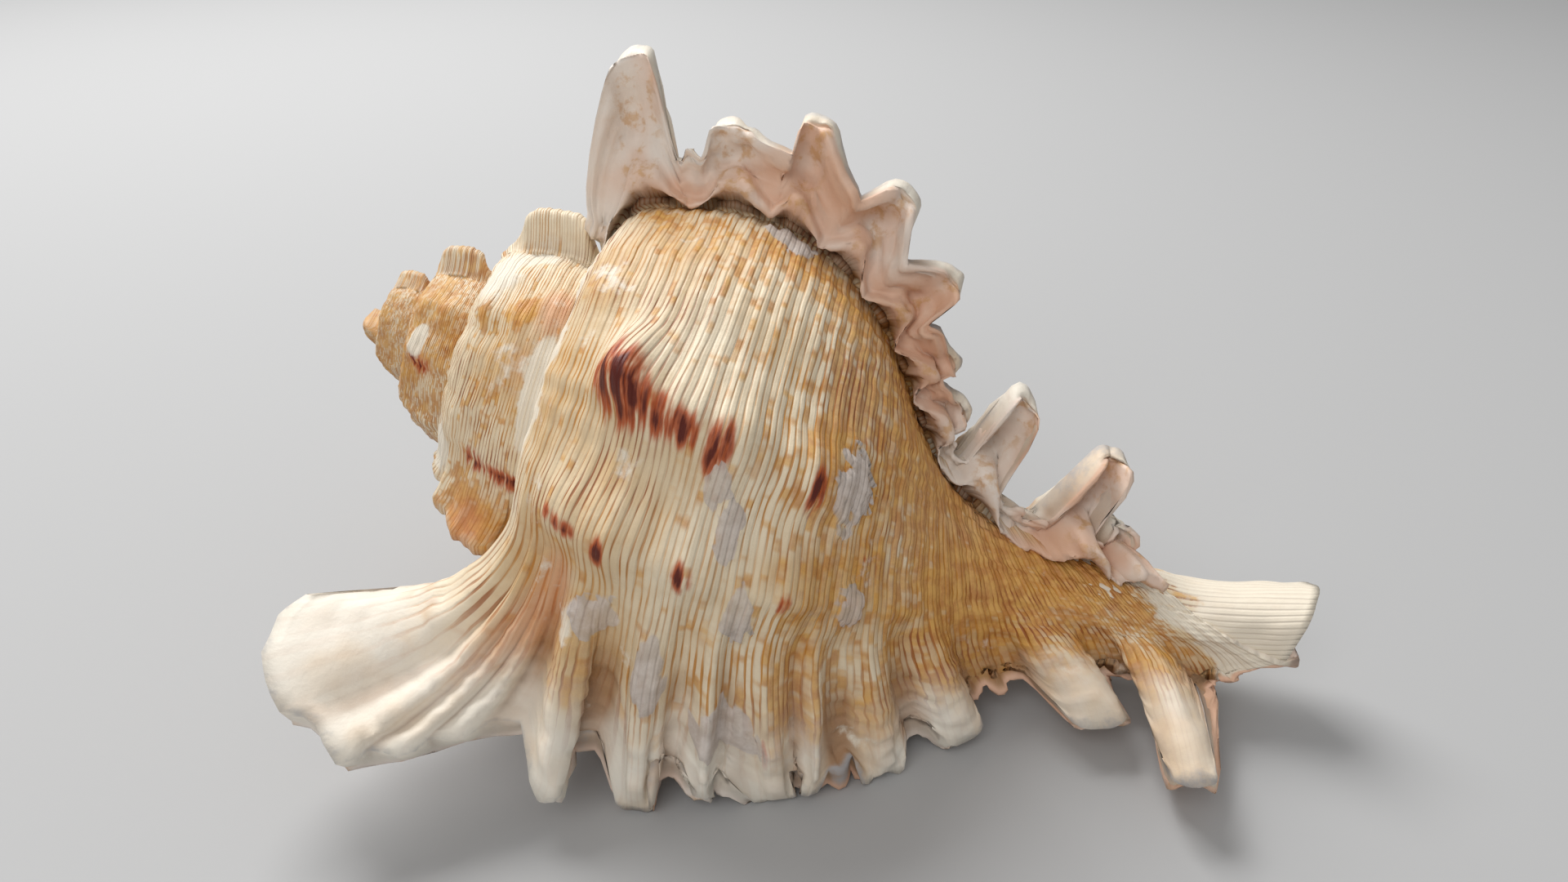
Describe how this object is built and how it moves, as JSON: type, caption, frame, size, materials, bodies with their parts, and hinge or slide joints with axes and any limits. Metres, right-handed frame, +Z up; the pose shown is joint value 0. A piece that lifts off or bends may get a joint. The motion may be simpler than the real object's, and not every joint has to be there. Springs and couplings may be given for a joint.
{
  "type": "murex shell",
  "caption": "Spiny murex sea shell lying mouth down, with a worn spire, flanges of branched spines, an open mouth and a curved siphonal canal.",
  "frame": {"origin": "on the floor, under the middle of the bounding box", "axes": "+X from the spire towards the canal, +Z up, the outer lip towards -Y"},
  "size_m": [0.1684, 0.1132, 0.1027],
  "materials": {
    "shell": "ivory shell lime with ochre and brown spiral lines, satin"
  },
  "bodies": {
    "root": {"shell": "shell"}
  },
  "joints": []
}
